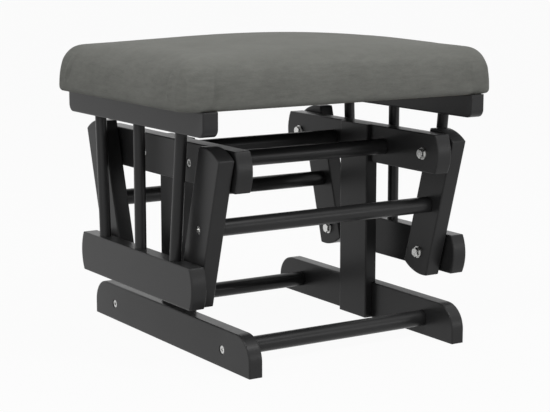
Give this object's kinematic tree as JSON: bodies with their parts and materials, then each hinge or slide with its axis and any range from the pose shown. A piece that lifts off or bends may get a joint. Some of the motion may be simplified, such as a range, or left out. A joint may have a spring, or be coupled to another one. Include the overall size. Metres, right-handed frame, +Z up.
{
  "type": "glider ottoman",
  "caption": "Padded footstool that glides fore and aft: a cushion on a spindled platform hung from a wooden base by swinging links.",
  "frame": {"origin": "on the floor under the middle of the seat", "axes": "+X right along the cross bars, +Y to the rear along the glide, +Z up"},
  "size_m": [0.532, 0.476, 0.4545],
  "materials": {
    "lacquered_wood": "black satin lacquer on hardwood",
    "plain_wood": "bare birch and plywood",
    "zinc_steel": "bright zinc plate",
    "steel_insert": "plain steel",
    "bearing_plastic": "black nylon",
    "cushion_cloth": "dark grey brushed microfibre over foam",
    "dust_cloth": "thin black non-woven cloth"
  },
  "bodies": {
    "base": {"right_runner": "lacquered_wood", "left_runner": "lacquered_wood", "right_post": "lacquered_wood", "left_post": "lacquered_wood", "right_fixed_rail": "lacquered_wood", "left_fixed_rail": "lacquered_wood", "front_base_bar": "lacquered_wood", "rear_base_bar": "lacquered_wood", "front_upper_bar": "lacquered_wood", "rear_upper_bar": "lacquered_wood", "base_bar_bolts": "zinc_steel", "base_bar_inserts": "steel_insert", "upper_bar_bolts": "zinc_steel", "upper_bar_inserts": "steel_insert", "post_dowels": "plain_wood", "upper_pivot_bolts": "zinc_steel", "upper_pivot_washers": "zinc_steel", "upper_pivot_hubs": "bearing_plastic"},
    "front_links": {"right_front_link": "lacquered_wood", "left_front_link": "lacquered_wood", "front_link_bar": "lacquered_wood", "front_link_bar_bolts": "zinc_steel", "front_link_bar_inserts": "steel_insert", "front_upper_bushes": "bearing_plastic", "front_lower_bushes": "bearing_plastic"},
    "rear_links": {"right_rear_link": "lacquered_wood", "left_rear_link": "lacquered_wood", "rear_link_bar": "lacquered_wood", "rear_link_bar_bolts": "zinc_steel", "rear_link_bar_inserts": "steel_insert", "rear_upper_bushes": "bearing_plastic", "rear_lower_bushes": "bearing_plastic"},
    "platform": {"right_lower_rail": "lacquered_wood", "left_lower_rail": "lacquered_wood", "right_front_spindle": "lacquered_wood", "right_middle_spindle": "lacquered_wood", "right_rear_spindle": "lacquered_wood", "left_front_spindle": "lacquered_wood", "left_middle_spindle": "lacquered_wood", "left_rear_spindle": "lacquered_wood", "right_cushion_rail": "lacquered_wood", "left_cushion_rail": "lacquered_wood", "seat_board": "plain_wood", "dust_cover": "dust_cloth", "seat_screws": "zinc_steel", "cushion": "cushion_cloth", "lower_pivot_bolts": "zinc_steel", "lower_pivot_washers": "zinc_steel", "lower_pivot_inserts": "steel_insert", "front_lower_sleeves": "steel_insert", "rear_lower_sleeves": "steel_insert", "front_lower_spacers": "bearing_plastic", "rear_lower_spacers": "bearing_plastic"}
  },
  "joints": [
    {"name": "front_link_swing", "type": "hinge", "parent": "base", "child": "front_links", "pos_m": [0, -0.168, 0.28], "axis": [1, 0, 0], "range_deg": [-12, 12]},
    {"name": "rear_link_swing", "type": "hinge", "parent": "base", "child": "rear_links", "pos_m": [0, 0.168, 0.28], "axis": [1, 0, 0], "range_deg": [-12.2, 12.2]},
    {"name": "platform_pivot", "type": "hinge", "parent": "front_links", "child": "platform", "pos_m": [0, -0.1225, 0.1188], "axis": [1, 0, 0], "range_deg": [-16.8, 16.8]}
  ],
  "couplings": [
    {"joint": "rear_link_swing", "follows": "front_link_swing", "ratio": 1},
    {"joint": "platform_pivot", "follows": "front_link_swing", "ratio": -1.3714}
  ]
}
